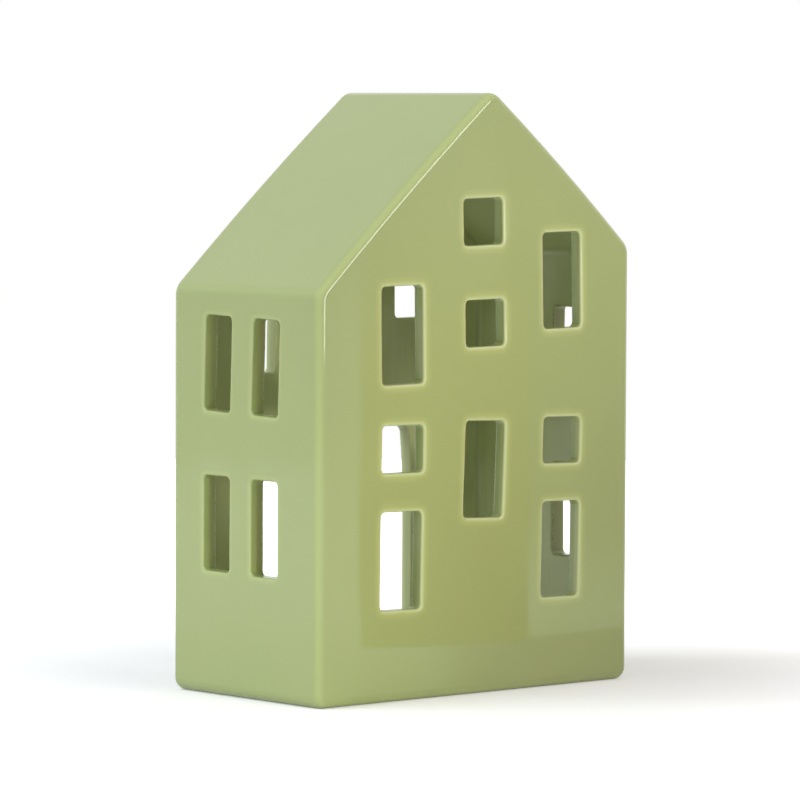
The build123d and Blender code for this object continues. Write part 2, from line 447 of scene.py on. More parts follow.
def corner_normals(bm, flat):
    """A normal for each corner of the mesh: the mean of its flat faces, or of all its faces."""
    mesh = bpy.data.meshes.new("measured")
    bm.to_mesh(mesh)
    count = len(mesh.vertices)
    places = np.empty(count * 3)
    mesh.vertices.foreach_get("co", places)
    places = places.reshape(-1, 3)
    corners = np.empty(len(mesh.loops), dtype=int)
    mesh.loops.foreach_get("vertex_index", corners)
    ahead = np.empty_like(corners)
    behind = np.empty_like(corners)
    owners = np.empty_like(corners)
    normals = np.empty(len(mesh.polygons) * 3)
    mesh.polygons.foreach_get("normal", normals)
    normals = normals.reshape(-1, 3)
    for polygon in mesh.polygons:
        where = slice(polygon.loop_start, polygon.loop_start + polygon.loop_total)
        ring = corners[where]
        ahead[where] = np.roll(ring, -1)
        behind[where] = np.roll(ring, 1)
        owners[where] = polygon.index
    first = places[ahead] - places[corners]
    second = places[behind] - places[corners]
    lengths = np.linalg.norm(first, axis=1) * np.linalg.norm(second, axis=1)
    cosines = np.clip((first * second).sum(axis=1) / np.maximum(lengths, NO_LENGTH), -1, 1)
    shares = np.arccos(cosines)[:, None] * normals[owners]
    every = np.zeros((count, 3))
    np.add.at(every, corners, shares)
    level = np.zeros((count, 3))
    chosen = flat[owners]
    np.add.at(level, corners[chosen], shares[chosen])
    has_flat = np.linalg.norm(level, axis=1) > NO_ANGLE
    total = np.where(has_flat[:, None], level, every)
    bpy.data.meshes.remove(mesh)
    return total / np.linalg.norm(total, axis=1)[:, None]


# What the glaze's material reads at each corner of the mesh: thin, edge and pooled go up to 1 where
# the glaze thins over a rim, over any other edge or gathers in a hollow; rim_gap and depth are in mm;
# brown_side and brown_inner (a brown rim line), pale (cut faces painted lighter, the others painted
# darker) and glint (painted glint dots) go up to 1 on the sides of the openings that show them.
GLAZE_LAYERS = ("thin", "edge", "pooled", "rim_gap", "depth", "brown_side", "brown_inner", "pale", "glint")


def glaze_values(vert, turned, gap, depth, openings):
    """The value of each of the glaze's layers at a corner of the mesh."""
    turn, bend, on_rim = turned
    on_side_wall = abs(vert.co.x) > SIDE_WALL * MM
    axis, in_front, side = opening_side(vert.co, openings)
    in_side_window = axis == 0 and side == "high"
    values = dict.fromkeys(GLAZE_LAYERS, 0.0)
    if on_rim:
        values["thin"] = turn * (SIDE_RIM_SHARE if on_side_wall else 1.0)
    elif bend < 0:
        values["edge"] = turn
    if bend >= 0:
        values["pooled"] = turn
    values["rim_gap"] = gap + (SIDE_RIM_GAP if on_side_wall else 0.0)
    values["depth"] = depth * (END_WALL_SHARE if axis == 0 else 1.0)
    if in_front:
        values["pale"] = 1.0
        values["brown_side"] = 1.0 if side == "low" else 0.0
        values["brown_inner"] = SILL_BROWN_SHARE if side == "sill" else 0.0
        values["glint"] = 1.0 if side == "high" else 0.0
    elif in_side_window:
        values["brown_inner"] = 1.0
        values["glint"] = SIDE_GLINT
    return values


def make_glazed_house():
    """The casting under its glaze: soft waves, dips round the openings, drips and beads on the rims."""
    source = frame["nodes"]["house_shell"]
    low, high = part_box("house_shell")
    openings = wall_openings()
    bm = bmesh.new()
    bm.from_mesh(source.data)
    bmesh.ops.remove_doubles(bm, verts=bm.verts, dist=WELD)
    flat_turn = math.radians(FLAT_TURN)
    bmesh.ops.dissolve_limit(bm, angle_limit=flat_turn, verts=bm.verts[:], edges=bm.edges[:])
    bm.normal_update()
    slopes = roof_normals(bm)
    facing = bm.verts.layers.float_vector.new("facing")
    for vert, normal in zip(bm.verts, corner_normals(bm, flat_faces(bm, slopes))):
        vert[facing] = normal
    cut_into_cells(bm, low, high)
    cut_round_openings(bm, openings)
    bm.normal_update()
    flat = flat_faces(bm, slopes)
    plain = corner_normals(bm, flat)
    turns, gaps = measure_glaze(bm, openings)
    layers = {name: bm.verts.layers.float.new(name) for name in GLAZE_LAYERS}
    beads = bead_places(openings)
    moves = []
    for vert, turn, gap, depth in zip(bm.verts, turns, gaps, wall_depths(bm)):
        for name, value in glaze_values(vert, turn, gap, depth, openings).items():
            vert[layers[name]] = value
        moves.append(vert.normal * glaze_height(vert, turn[2], gap, beads) * MM)
    for vert, move in zip(bm.verts, moves):
        vert.co += move
    bm.normal_update()
    tilts = corner_normals(bm, flat) - plain
    normals = []
    for vert, tilt in zip(bm.verts, tilts):
        normals.append((vert[facing].normalized() + Vector(tilt)).normalized())
    bm.verts.layers.float_vector.remove(facing)
    mesh = bpy.data.meshes.new("glazed_house")
    bm.to_mesh(mesh)
    bm.free()
    mesh.shade_smooth()
    mesh.normals_split_custom_set_from_vertices(normals)
    return add_piece("glazed_house", mesh, glaze_material())


def add_piece(name, mesh, material):
    piece = bpy.data.objects.new(name, mesh)
    bpy.context.scene.collection.objects.link(piece)
    mesh.materials.clear()
    mesh.materials.append(material)
    return piece


# Materials

class Nodes:
    """A material's node tree, with short ways to add and join its nodes."""

    def __init__(self, name):
        self.material = bpy.data.materials.new(name)
        self.material.use_nodes = True
        self.tree = self.material.node_tree
        self.shader = self.tree.nodes["Principled BSDF"]

    def add(self, kind, **settings):
        node = self.tree.nodes.new(kind)
        for name, setting in settings.items():
            setattr(node, name, setting)
        return node

    def join(self, output, target):
        self.tree.links.new(output, target)

    def place(self):
        return self.add("ShaderNodeTexCoord").outputs["Object"]

    def noise(self, size, detail=2.0, stretch=(1, 1, 1)):
        """Noise whose features are about this many millimetres wide."""
        mapping = self.add("ShaderNodeMapping")
        mapping.inputs["Scale"].default_value = stretch
        self.join(self.place(), mapping.inputs["Vector"])
        node = self.add("ShaderNodeTexNoise")
        node.inputs["Scale"].default_value = 1 / (size * MM)
        node.inputs["Detail"].default_value = detail
        self.join(mapping.outputs["Vector"], node.inputs["Vector"])
        return node.outputs["Fac"]

    def value(self, source, low, high, to_low=0.0, to_high=1.0):
        """The source mapped from one range to another by a smooth step, held at the ends."""
        node = self.add("ShaderNodeMapRange", interpolation_type="SMOOTHSTEP")
        node.inputs["From Min"].default_value = low
        node.inputs["From Max"].default_value = high
        node.inputs["To Min"].default_value = to_low
        node.inputs["To Max"].default_value = to_high
        self.join(source, node.inputs["Value"])
        return node.outputs["Result"]

    def texture(self, width, detail, low, high, weakest, strongest, stretch=(1, 1, 1)):
        """A noise whose middle values are spread from weakest to strongest."""
        return self.value(self.noise(width, detail, stretch), low, high, weakest, strongest)

    def maths(self, operation, first, second):
        """One operation on two outputs or numbers."""
        node = self.add("ShaderNodeMath", operation=operation)
        for socket, source in zip(node.inputs, (first, second)):
            if isinstance(source, (int, float)):
                socket.default_value = source
            else:
                self.join(source, socket)
        return node.outputs["Value"]

    def mix(self, share, first, second):
        """One colour turning into another as the share goes from 0 to 1."""
        node = self.add("ShaderNodeMix", data_type="RGBA")
        self.join(share, node.inputs["Factor"])
        for name, source in (("A", first), ("B", second)):
            socket = next(item for item in node.inputs if item.name == name and item.type == "RGBA")
            if isinstance(source, tuple):
                socket.default_value = source
            else:
                self.join(source, socket)
        return next(item for item in node.outputs if item.type == "RGBA")

    def attribute(self, name):
        return self.add("ShaderNodeAttribute", attribute_name=name).outputs["Fac"]

    def bump(self, height, distance, strength):
        """A normal that follows a height, which goes up to this many millimetres."""
        node = self.add("ShaderNodeBump")
        node.inputs["Strength"].default_value = strength
        node.inputs["Distance"].default_value = distance * MM
        self.join(height, node.inputs["Height"])
        return node.outputs["Normal"]

    def between(self, name, span, to_low=0.0, to_high=1.0):
        """One of the mesh's layers, mapped over a span of its values."""
        return self.value(self.attribute(name), *span, to_low, to_high)

    def product(self, *factors):
        result = factors[0]
        for factor in factors[1:]:
            result = self.maths("MULTIPLY", result, factor)
        return result


def outer_glaze(nodes):
    """The glaze of the outer faces: sage with faint clouds, paler round the openings."""
    colour = nodes.mix(nodes.texture(*CLOUD_TEXTURE), linear(SAGE), linear(POOLED_GLAZE))
    colour = nodes.mix(nodes.between("rim_gap", HALO_GAP, HALO_SHARE, 0.0), colour, linear(HALO_GLAZE))
    return nodes.mix(nodes.between("rim_gap", LIGHT_GAP, LIGHT_SHARE, 0.0), colour, linear(THIN_GLAZE))


def room_glaze(nodes):
    """The glaze inside the room: a lighter copy of the sage as painted light, with thin streaks of
    painted reflection.
    """
    streaks = nodes.texture(*STREAK_TEXTURE, stretch=STREAK_STRETCH)
    streaks = nodes.product(streaks, nodes.texture(*STREAK_PATCHES))
    # Painted light and painted reflections: the room is lighter than the outer glaze, with light streaks
    return nodes.mix(streaks, linear(LIT_ROOM_GLAZE), linear(ROOM_STREAK_REFLECTION))


def cut_glaze(nodes, height):
    """The glaze on the cut through a wall: thin at its outer edge, with painted glint dots further in."""
    low, high = (level * MM for level in CUT_HEIGHT)
    # Painted light: the front openings' cut faces get lighter higher up
    front = nodes.mix(nodes.value(height, low, high), linear(CUT_GLAZE), linear(LIT_HIGH_CUT_GLAZE))
    edge = nodes.between("depth", CUT_EDGE_DEPTH, CUT_EDGE_SHARE, 0.0)
    front = nodes.mix(edge, front, linear(THIN_GLAZE))
    # Painted shade: the cut faces of the other openings take a darker copy of the colour
    colour = nodes.mix(nodes.attribute("pale"), linear(SHADED_CUT_GLAZE), front)
    # Painted glints: light dots along the inner edge of the jambs
    dots = nodes.product(nodes.texture(*DOT_TEXTURE), nodes.between("depth", DOT_DEPTH))
    dots = nodes.product(dots, nodes.attribute("glint"))
    return nodes.mix(dots, colour, linear(PAINTED_GLINT))


def brown_line_share(nodes):
    """Where a brown line runs along an opening's rim, as a share from 0 to 1."""
    brown_side = nodes.product(nodes.attribute("brown_side"), nodes.between("depth", BROWN_SIDE_DEPTH))
    brown_inner = nodes.product(nodes.attribute("brown_inner"), nodes.between("depth", BROWN_INNER_START))
    brown_inner = nodes.product(brown_inner, nodes.between("depth", BROWN_INNER_END, 1.0, 0.0))
    at_rim = nodes.between("rim_gap", BROWN_LINE_GAP, 1.0, 0.0)
    return nodes.product(nodes.maths("MAXIMUM", brown_side, brown_inner), at_rim, nodes.texture(*BROWN_LINE_TEXTURE))


def glaze_material():
    """Glossy sage glaze: thin and lighter over edges, pooled in hollows, bare under the foot."""
    nodes = Nodes("glaze")
    shader = nodes.shader
    split = nodes.add("ShaderNodeSeparateXYZ")
    nodes.join(nodes.place(), split.inputs["Vector"])
    height = split.outputs["Z"]

    inside = nodes.mix(nodes.between("depth", CUT_END_DEPTH), cut_glaze(nodes, height), room_glaze(nodes))
    colour = nodes.mix(nodes.between("depth", ROOM_DEPTH), outer_glaze(nodes), inside)
    pooled = nodes.between("pooled", POOLED_TURN, 0.0, POOLED_SHARE)
    colour = nodes.mix(pooled, colour, linear(POOLED_GLAZE))
    edge = nodes.between("edge", EDGE_TURN, 0.0, EDGE_SHARE)
    colour = nodes.mix(edge, colour, linear(EDGE_GLAZE))
    # Painted highlight: the rims' thin glaze colour gets stronger higher up
    low, high = (level * MM for level in RIM_HIGHLIGHT_HEIGHT)
    thin = nodes.value(height, low, high, LOW_RIM_HIGHLIGHT_SHARE, 1.0)
    thin = nodes.product(nodes.between("thin", THIN_TURN), thin)
    colour = nodes.mix(thin, colour, linear(THIN_GLAZE))
    colour = nodes.mix(brown_line_share(nodes), colour, linear(BROWN_LINE_GLAZE))

    low, high = (level * MM for level in BARE_HEIGHT)
    wander = nodes.maths("MULTIPLY", nodes.noise(BARE_WANDER_WIDTH), BARE_WANDER * MM)
    bare = nodes.value(nodes.maths("ADD", height, wander), low, high, 1.0, 0.0)
    bisque = nodes.mix(nodes.texture(*CLAY_TEXTURE), linear(BISQUE), linear(BISQUE_GRAIN))
    nodes.join(nodes.mix(bare, colour, bisque), shader.inputs["Base Color"])

    room_gloss = nodes.between("depth", ROOM_DEPTH, 0.0, ROOM_ROUGHNESS)
    gloss = nodes.maths("ADD", nodes.texture(*GLAZE_GLOSS), room_gloss)
    roughness = nodes.add("ShaderNodeMix", data_type="FLOAT")
    nodes.join(bare, roughness.inputs["Factor"])
    nodes.join(gloss, roughness.inputs["A"])
    roughness.inputs["B"].default_value = BISQUE_ROUGHNESS
    nodes.join(roughness.outputs["Result"], shader.inputs["Roughness"])
    shader.inputs["IOR"].default_value = GLAZE_IOR
    nodes.join(nodes.bump(nodes.noise(*GLAZE_WAVES), *GLAZE_BUMP), shader.inputs["Normal"])
    return nodes.material


def foil_material():
    """Bright drawn foil with fine wrinkles."""
    nodes = Nodes("foil")
    shader = nodes.shader
    wrinkles = nodes.noise(*WRINKLES)
    tone = nodes.mix(nodes.value(wrinkles, *WRINKLE_TONE), linear(FOIL), linear(FOIL_WRINKLE))
    nodes.join(tone, shader.inputs["Base Color"])
    shader.inputs["Metallic"].default_value = 1.0
    nodes.join(nodes.texture(*FOIL_GLOSS), shader.inputs["Roughness"])
    nodes.join(nodes.bump(wrinkles, *WRINKLE_BUMP), shader.inputs["Normal"])
    return nodes.material


def wax_material():
    """White paraffin wax, which light enters a little."""
    nodes = Nodes("wax")
    shader = nodes.shader
    crystals = nodes.noise(*CRYSTALS)
    tone = nodes.mix(nodes.value(crystals, *CRYSTAL_TONE), linear(WAX), linear(WAX_CRYSTAL))
    nodes.join(tone, shader.inputs["Base Color"])
    shader.inputs["Subsurface Weight"].default_value = WAX_GLOW
    shader.inputs["Subsurface Radius"].default_value = WAX_GLOW_COLOUR
    shader.inputs["Subsurface Scale"].default_value = WAX_GLOW_REACH * MM
    nodes.join(nodes.texture(*WAX_GLOSS), shader.inputs["Roughness"])
    nodes.join(nodes.bump(crystals, *CRYSTAL_BUMP), shader.inputs["Normal"])
    return nodes.material


def cotton_material():
    """Waxed cotton, with fibres along the wick."""
    nodes = Nodes("wick")
    shader = nodes.shader
    fibres = nodes.noise(*FIBRES)
    tone = nodes.mix(nodes.value(fibres, *FIBRE_TONE), linear(COTTON), linear(COTTON_SHADE))
    nodes.join(tone, shader.inputs["Base Color"])
    nodes.join(nodes.value(fibres, *FIBRE_GLOSS), shader.inputs["Roughness"])
    shader.inputs["Sheen Weight"].default_value = COTTON_SHEEN
    nodes.join(nodes.bump(fibres, *FIBRE_BUMP), shader.inputs["Normal"])
    return nodes.material


def tinned_steel_material():
    """Tinned sheet steel, brushed along X."""
    nodes = Nodes("tinned_steel")
    shader = nodes.shader
    brushing = nodes.noise(*BRUSHING)
    tone = nodes.mix(nodes.value(brushing, *BRUSHING_TONE), linear(TINNED_STEEL), linear(BRUSHED_STEEL))
    nodes.join(tone, shader.inputs["Base Color"])
    shader.inputs["Metallic"].default_value = 1.0
    nodes.join(nodes.value(brushing, *BRUSHING_GLOSS), shader.inputs["Roughness"])
    return nodes.material


# The tealight

# A rounded lower corner of a profile: from and to, in degrees, and its steps
CORNER_ARC = (-90, 0, 6)

# The foil cup, in mm. Its floor is a profile of radii and heights, with a pressed ring, and its
# rolled rim is an arc like the corner's.
FLUTES = 72
FLUTE_DEPTH = 0.10
FLUTE_FADE = 4
CUP_SEGMENTS = FLUTES * 6
FOIL_THICKNESS = 0.3
CUP_BEAD = 0.45
CUP_CORNER = 1.2
CUP_TAPER = 0.3
CUP_WALL_STEPS = 9
CUP_FLOOR = ((0, 0.25), (6.0, 0.25), (6.6, 0.02), (9.5, 0.02), (10.1, 0.25), (14.2, 0.25), (15.0, 0.0))
CUP_ROLL = (-80, 170, 12)
CUP_FLOOR_GAP = 0.05
CUP_INNER_CORNER = 1.0

# The wax, in mm: its lower corner, the meniscus on the foil as a profile inwards and down from the
# top, the dish with the hollow and the small meniscus round the wick, and the ripples on it
WAX_SEGMENTS = 128
WAX_CORNER = 1.2
WAX_FOOT_GAP = 0.3
WAX_SIDE_GAP = 0.1
WAX_SIDE_SHARE = 0.7
MENISCUS = ((0, 0), (0.25, 0.12), (0.7, 0.3))
DISH_STEPS = 16
DISH_DEPTH = 0.35
WICK_HOLLOW = 0.75
WICK_MENISCUS = 0.14
WICK_MENISCUS_START = 0.85
WAX_MIDDLE_DEPTH = 0.5
WAX_RIPPLE = 0.05
WAX_RIPPLE_LENGTH = 6.0
WAX_RIPPLE_EDGE = 1.0

# The wick's braid, in mm. It leans from a share of its length on.
STRANDS = 3
STRAND_RADIUS = 0.30
STRAND_SIDES = 8
STRAND_TIP_SHARE = 0.6
BRAID_PITCH = 2.6
BRAID_STEPS = 16
BRAID_REACH = (0.36, 0.2)
WICK_LEAN = (0.30, 0.15)
WICK_LEAN_START = 0.72


def tealight_middle():
    """The middle of the tealight's underside."""
    low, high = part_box("tealight_cup")
    return Vector(((low.x + high.x) / 2, (low.y + high.y) / 2, low.z))


def lathe(profile, segments, shape=None):
    """Turns a profile of (radius, height) in mm round Z; shape changes a radius by angle and step."""
    bm = bmesh.new()
    rings = []
    for step, (radius, height) in enumerate(profile):
        if radius == 0:
            rings.append([bm.verts.new((0, 0, height * MM))])
            continue
        ring = []
        for i in range(segments):
            angle = math.tau * i / segments
            reach = radius + (shape(angle, step) if shape else 0)
            place = (reach * math.cos(angle) * MM, reach * math.sin(angle) * MM, height * MM)
            ring.append(bm.verts.new(place))
        rings.append(ring)
    for first, second in zip(rings, rings[1:]):
        for i in range(segments):
            j = (i + 1) % segments
            places = ((first, i), (first, j), (second, j), (second, i))
            corners = list(dict.fromkeys(ring[place % len(ring)] for ring, place in places))
            if len(corners) > 2:
                bm.faces.new(corners)
    bmesh.ops.recalc_face_normals(bm, faces=bm.faces)
    return bm


def mesh_from(bm, name, middle):
    """Ends a mesh: moves it to its middle and shades it smooth."""
    bmesh.ops.translate(bm, verts=bm.verts, vec=middle)
    mesh = bpy.data.meshes.new(name)
    bm.to_mesh(mesh)
    bm.free()
    mesh.shade_smooth()
    return mesh


def arc(centre, radius, start, end, steps):
    """Points of an arc on the profile's plane, in mm and degrees."""
    points = []
    for i in range(steps + 1):
        angle = math.radians(start + (end - start) * i / steps)
        points.append((centre[0] + radius * math.cos(angle), centre[1] + radius * math.sin(angle)))
    return points


def make_foil_cup():
    """Drawn foil cup: a pressed ring in its floor, fine flutes round its wall and a rolled rim."""
    low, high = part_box("tealight_cup")
    height = (high.z - low.z) / MM
    wall_top = (high.x - low.x) / 2 / MM - CUP_BEAD
    wall_foot = wall_top - CUP_TAPER
    wall_rise = height - 2 * CUP_BEAD - CUP_CORNER
    outside = list(CUP_FLOOR)
    outside += arc((wall_foot - CUP_CORNER, CUP_CORNER), CUP_CORNER, *CORNER_ARC)
    wall_start = len(outside)
    for i in range(1, CUP_WALL_STEPS + 1):
        share = i / CUP_WALL_STEPS
        outside.append((wall_foot + (wall_top - wall_foot) * share, CUP_CORNER + wall_rise * share))
    wall_end = len(outside) - 1
    roll = arc((wall_top, height - CUP_BEAD), CUP_BEAD, *CUP_ROLL)
    inner_foot = wall_foot - FOIL_THICKNESS
    inner_floor = FOIL_THICKNESS + CUP_FLOOR_GAP
    inside = [
        (wall_top - FOIL_THICKNESS, height - 2 * CUP_BEAD),
        (inner_foot, CUP_CORNER + FOIL_THICKNESS),
        (inner_foot - CUP_INNER_CORNER, inner_floor),
        (0, inner_floor),
    ]

    def flute(angle, step):
        if not wall_start <= step < wall_end:
            return 0.0
        share = (step - wall_start + 1) / CUP_WALL_STEPS
        depth = FLUTE_DEPTH * smooth_step(share * FLUTE_FADE) * smooth_step((1 - share) * FLUTE_FADE)
        return -depth * (0.5 + 0.5 * math.cos(FLUTES * angle))

    bm = lathe(outside + roll + inside, CUP_SEGMENTS, flute)
    return add_piece("foil_cup", mesh_from(bm, "foil_cup", tealight_middle()), foil_material())


def make_wax_fill():
    """Poured wax: a rounded lower edge, a meniscus up the foil and a soft dish round the wick."""
    low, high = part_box("tealight_wax")
    middle = tealight_middle()
    foot = (low.z - middle.z) / MM
    top = (high.z - middle.z) / MM
    radius = (high.x - low.x) / 2 / MM
    corner_place = radius - WAX_FOOT_GAP - WAX_CORNER
    profile = [(0, foot), (corner_place, foot)]
    profile += arc((corner_place, foot + WAX_CORNER), WAX_CORNER, *CORNER_ARC)[1:]
    profile.append((radius - WAX_SIDE_GAP, top * WAX_SIDE_SHARE))
    profile += [(radius - inwards, top - down) for inwards, down in MENISCUS]
    dish_edge, dish_top = profile[-1]
    for i in range(1, DISH_STEPS + 1):
        share = i / DISH_STEPS
        climb = smooth_step((share - WICK_MENISCUS_START) / (1 - WICK_MENISCUS_START))
        reach = dish_edge * (1 - share) + WICK_HOLLOW * share
        profile.append((reach, dish_top - DISH_DEPTH * smooth_step(share) + WICK_MENISCUS * climb))
    profile.append((0, top - WAX_MIDDLE_DEPTH))
    bm = lathe(profile, WAX_SEGMENTS)
    for vert in bm.verts:
        near_top = vert.co.z > (top - WAX_RIPPLE_EDGE) * MM
        if near_top and vert.co.xy.length < (radius - WAX_RIPPLE_EDGE) * MM:
            vert.co.z += WAX_RIPPLE * MM * noise.noise(vert.co / (WAX_RIPPLE_LENGTH * MM))
    return add_piece("wax_fill", mesh_from(bm, "wax_fill", middle), wax_material())


def strand_line(number, length):
    """The middle line of one strand of the braid, in mm."""
    steps = round(length / BRAID_PITCH * BRAID_STEPS)
    line = []
    for i in range(steps + 1):
        z = STRAND_RADIUS + (length - 2 * STRAND_RADIUS) * i / steps
        turn = math.tau * z / BRAID_PITCH + math.tau * number / STRANDS
        lean = smooth_step((z - length * WICK_LEAN_START) / (length * (1 - WICK_LEAN_START)))
        x = BRAID_REACH[0] * math.cos(turn) + WICK_LEAN[0] * lean
        y = BRAID_REACH[1] * math.sin(2 * turn) + WICK_LEAN[1] * lean
        line.append(Vector((x, y, z)))
    return line


def make_braided_wick():
    """Flat braid of three waxed strands, with a slight lean and a clipped tip."""
    low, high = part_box("tealight_wick")
    centre = Vector(((low.x + high.x) / 2, (low.y + high.y) / 2, low.z))
    length = (high.z - low.z) / MM
    bm = bmesh.new()
    for number in range(STRANDS):
        line = strand_line(number, length)
        rings = []
        for i, point in enumerate(line):
            ahead = (line[min(i + 1, len(line) - 1)] - line[max(i - 1, 0)]).normalized()
            side = ahead.cross(Vector((0, 1, 0))).normalized()
            up = side.cross(ahead)
            ring = []
            for k in range(STRAND_SIDES):
                angle = math.tau * k / STRAND_SIDES
                outwards = side * math.cos(angle) + up * math.sin(angle)
                ring.append(bm.verts.new((point + outwards * STRAND_RADIUS) * MM))
            rings.append(ring)
        for first, second in zip(rings, rings[1:]):
            for k in range(STRAND_SIDES):
                following = (k + 1) % STRAND_SIDES
                bm.faces.new((first[k], first[following], second[following], second[k]))
        for ring, end, way in ((rings[0], line[0], -1), (rings[-1], line[-1], 1)):
            tip = bm.verts.new((end + Vector((0, 0, way * STRAND_RADIUS * STRAND_TIP_SHARE))) * MM)
            for k in range(STRAND_SIDES):
                bm.faces.new((ring[k], ring[(k + 1) % STRAND_SIDES], tip))
    bmesh.ops.recalc_face_normals(bm, faces=bm.faces)
    return add_piece("braided_wick", mesh_from(bm, "braided_wick", centre), cotton_material())


# The studio

# The floor: its radius, how far from the house it turns white, in metres, its own light near the
# house, what it gains far away, and how much of that light reflections see
FLOOR_RADIUS = 0.9
FLOOR_SEGMENTS = 96
FLOOR_FADE = (0.07, 0.30)
FLOOR_NEAR_LIGHT = 0.24
FLOOR_FAR_LIGHT = 0.66
FLOOR_IN_GLOSS = 0.45

# The lamps and the world's levels: places, aims and sizes in metres
KEY_PLACE = (0.07, -0.80, 0.72)
KEY_AIM = (-0.01, -0.03, 0.12)
KEY_SIZE = 0.26
KEY_WATTS = 2.6
KEY_COLOUR = (255, 243, 232)
FILL_PLACE = (-0.87, 0.30, 0.92)
FILL_SIZE = 0.8
FILL_WATTS = 10.8
FILL_COLOUR = (226, 235, 248)
WORLD_DIFFUSE = 0.40
WORLD_GLOSSY = 1.0

# Soft spots of light: place and aim in metres, watts, angle in degrees, softness of the rim, colour
GLOW_LAMP_RADIUS = 0.08
GLOWS = {
    "left_glow": ((-0.25, -0.95, 0.10), (-0.055, -0.032, 0.030), 2.0, 11.0, 1.0, (252, 253, 232)),
    "corner_glow": ((-0.25, -0.95, 0.10), (-0.075, -0.032, 0.020), 18.0, 7.1, 0.4, (244, 252, 238)),
    "top_glow": ((0.0, -0.95, 0.10), (0.022, -0.032, 0.125), 14.3, 9.8, 1.0, (255, 250, 246)),
    "peak_glow": ((0.0, -0.95, 0.10), (0.0, -0.032, 0.155), 7.8, 7.0, 1.0, (255, 255, 226)),
    "side_glow": ((-1.0, -0.10, 0.06), (-0.059, 0.0, 0.020), 6.0, 9.0, 1.0, (240, 240, 255)),
    "foot_glow": ((0.0, -0.95, 0.10), (0.080, -0.032, 0.0), 6.0, 4.6, 1.0, (255, 255, 255)),
}

# Cards that only reflections see. Each has three corners in metres: its start, its end and the top
# over its start. Then come its colours as linear RGB at the start, the end and the top, how soft its
# sides, its foot and its top are, as shares of its width and height, and its strength. The colour of
# the top begins at a share of the height.
TOP_COLOUR_START = 0.25
CARDS = {
    "warm_card": (
        ((0.049, -0.141, 0.0), (0.104, -0.121, 0.0), (0.049, -0.141, 0.150)),
        ((0.62, 0.30, 0.10), (0.40, 0.02, 0.0), (0.80, 0.70, 0.50)),
        (0.05, 0.0, 0.45),
        1.0,
    ),
    "grey_card": (
        ((0.094, -0.131, 0.004), (0.200, -0.095, 0.004), (0.094, -0.131, 0.190)),
        ((0.40, 0.24, 0.32), (0.45, 0.32, 0.52), (0.80, 0.80, 0.82)),
        (0.04, 0.2, 0.45),
        1.0,
    ),
    "floor_card": (
        ((-0.016, -0.033, 0.0006), (0.110, -0.033, 0.0006), (0.076, -0.134, 0.0006)),
        ((0.42, 0.20, 0.40), (0.70, 0.60, 0.72), (0.50, 0.30, 0.45)),
        (0.12, 0.0, 0.08),
        1.0,
    ),
    "softbox": (
        ((-0.140, -0.86, 0.052), (0.120, -0.86, 0.052), (0.200, -0.86, 0.80)),
        ((1.0, 1.0, 0.96), (1.0, 1.0, 0.96), (1.0, 1.0, 0.96)),
        (0.3, 0.018, 0.05),
        8.8,
    ),
}


def add_camera():
    """The photograph's camera, from its place, heading, dip and roll."""
    heading = math.radians(CAMERA_HEADING)
    dip = math.radians(CAMERA_DIP)
    roll = math.radians(CAMERA_ROLL)
    level_ahead = Vector((math.sin(heading), math.cos(heading), 0))
    level_right = Vector((math.cos(heading), -math.sin(heading), 0))
    ahead = math.cos(dip) * level_ahead + math.sin(dip) * Vector((0, 0, -1))
    level_up = level_right.cross(ahead)
    right = math.cos(roll) * level_right + math.sin(roll) * level_up
    up = -math.sin(roll) * level_right + math.cos(roll) * level_up
    data = bpy.data.cameras.new("camera")
    data.lens = CAMERA_LENS
    data.sensor_width = CAMERA_SENSOR
    data.clip_end = CAMERA_REACH
    camera = bpy.data.objects.new("camera", data)
    turned = Matrix((right, up, -ahead)).transposed().to_4x4()
    camera.matrix_world = Matrix.Translation(Vector(CAMERA_PLACE) * MM) @ turned
    bpy.context.scene.collection.objects.link(camera)
    bpy.context.scene.camera = camera


def add_lamp(name, data, place, aim):
    """A lamp turned to its aim, which reflections don't see."""
    lamp = bpy.data.objects.new(name, data)
    lamp.location = place
    lamp.rotation_euler = (Vector(aim) - Vector(place)).to_track_quat("-Z", "Y").to_euler()
    lamp.visible_glossy = False
    bpy.context.scene.collection.objects.link(lamp)
    return lamp


def add_area_light(name, place, aim, size, watts, colour):
    data = bpy.data.lights.new(name, "AREA")
    data.shape = "SQUARE"
    data.size = size
    data.energy = watts
    data.color = linear(colour)[:3]
    add_lamp(name, data, place, aim).visible_camera = False


def add_glow(name, place, aim, watts, angle, softness, colour):
    """A soft spot of light."""
    data = bpy.data.lights.new(name, "SPOT")
    data.energy = watts
    data.spot_size = math.radians(angle)
    data.spot_blend = softness
    data.shadow_soft_size = GLOW_LAMP_RADIUS
    data.color = linear(colour)[:3]
    add_lamp(name, data, place, aim)


def card_material(name, strength):
    """Plain light in the card's own colours, which fades out over its border."""
    nodes = Nodes(name)
    tree = nodes.tree
    tree.nodes.remove(nodes.shader)
    light = nodes.add("ShaderNodeEmission")
    light.inputs["Strength"].default_value = strength
    own_colour = nodes.add("ShaderNodeAttribute", attribute_name="light")
    nodes.join(own_colour.outputs["Color"], light.inputs["Color"])
    clear = nodes.add("ShaderNodeBsdfTransparent")
    both = nodes.add("ShaderNodeMixShader")
    nodes.join(nodes.value(nodes.attribute("cover"), 0.0, 1.0), both.inputs[0])
    nodes.join(clear.outputs[0], both.inputs[1])
    nodes.join(light.outputs[0], both.inputs[2])
    nodes.join(both.outputs[0], tree.nodes["Material Output"].inputs["Surface"])
    return nodes.material


